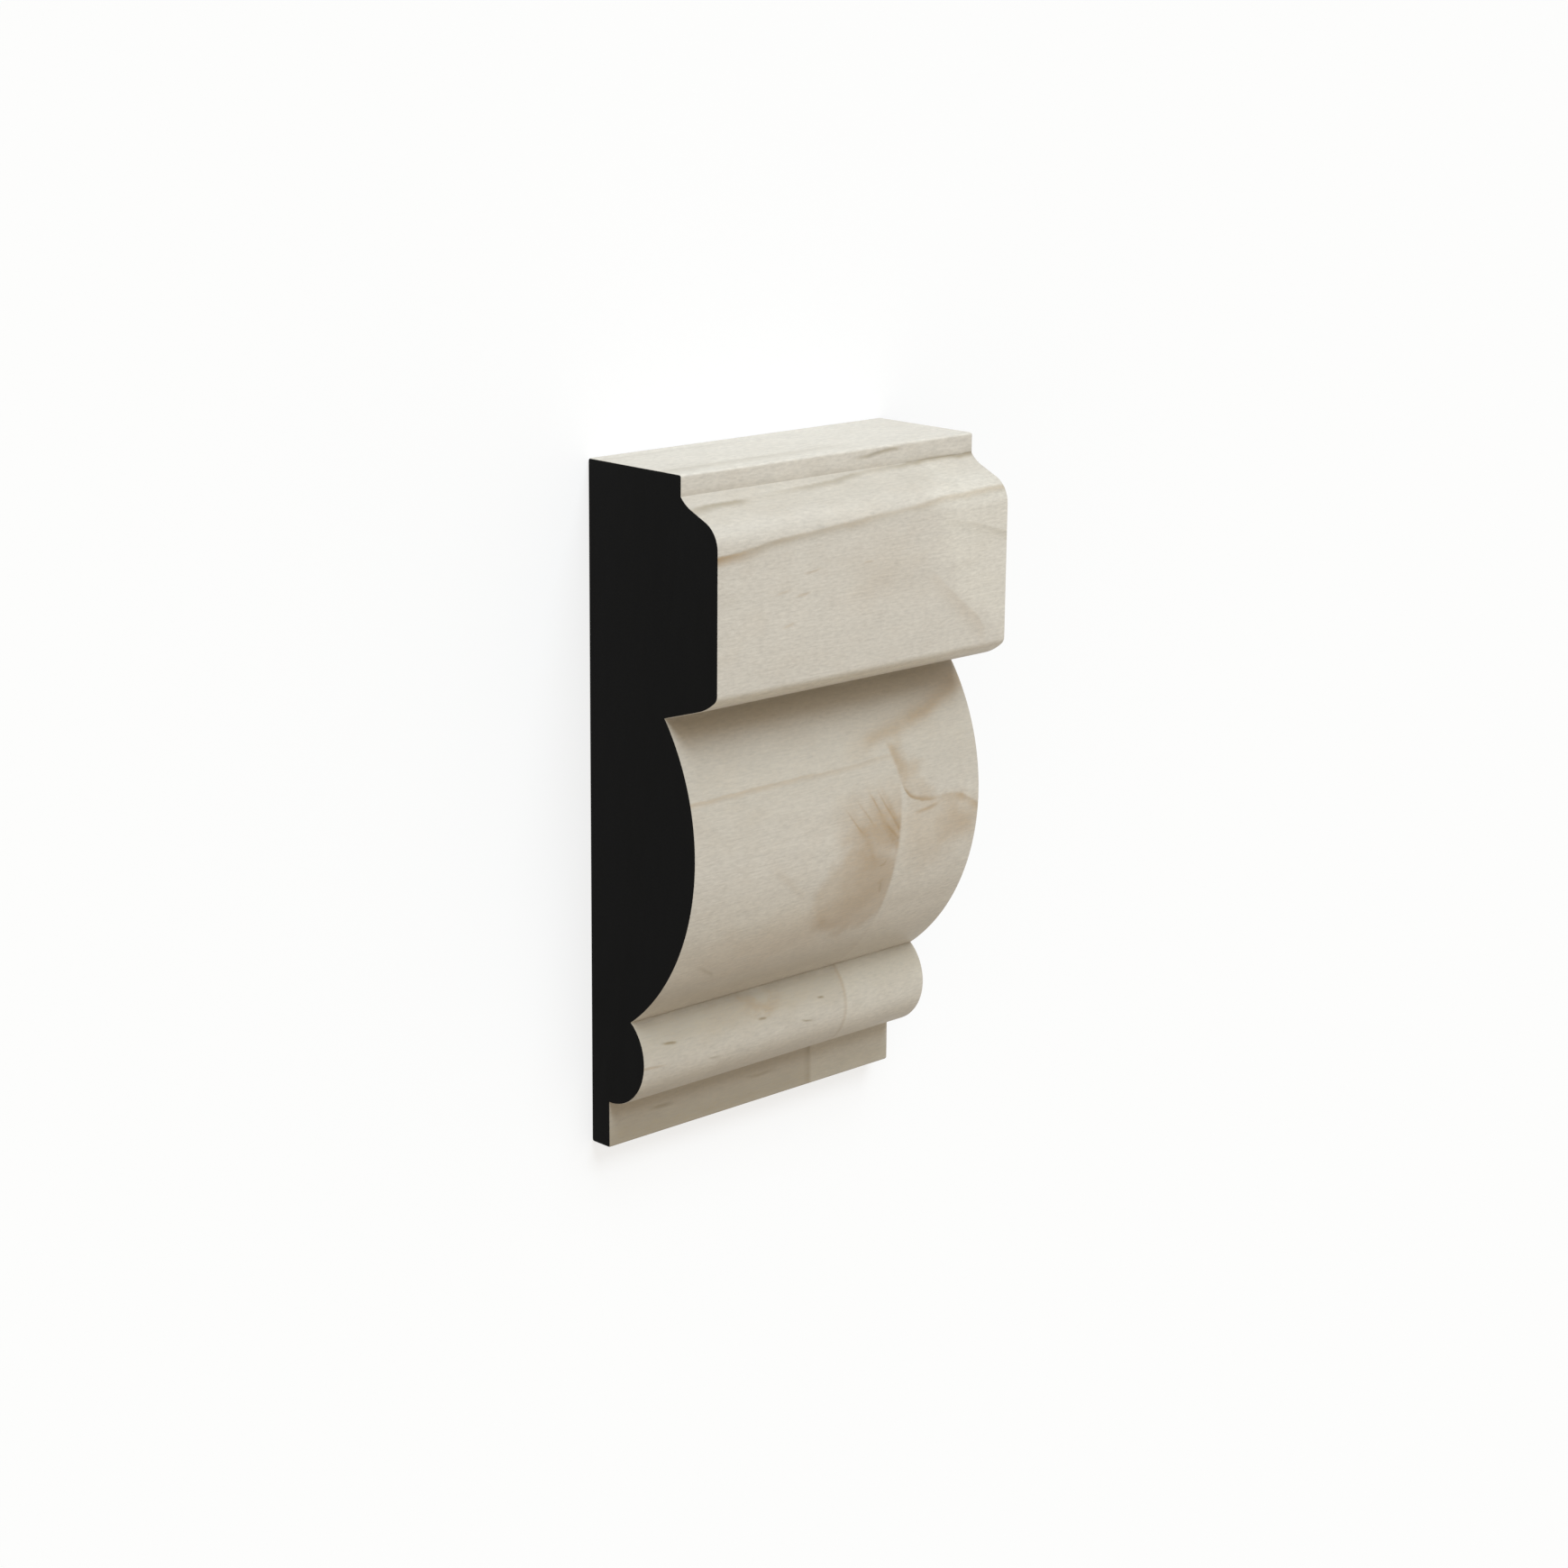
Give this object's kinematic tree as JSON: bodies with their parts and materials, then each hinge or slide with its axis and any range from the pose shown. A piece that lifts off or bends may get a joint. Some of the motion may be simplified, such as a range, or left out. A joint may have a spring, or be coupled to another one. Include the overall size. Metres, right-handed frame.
{
  "type": "dado rail",
  "caption": "Short length of solid wood dado rail with a stepped ogee top, flat front, broad rounded swell, small bead and thin foot.",
  "frame": {"origin": "centre of the flat back face, which goes against the wall", "axes": "+X along the rail's length, +Y up the wall towards the thick top edge, +Z out of the wall from the back"},
  "size_m": [0.0434, 0.076, 0.02],
  "materials": {
    "tulipwood": "bare planed wood, with matt black end grain"
  },
  "bodies": {
    "root": {"dado_rail": "tulipwood"}
  },
  "joints": []
}
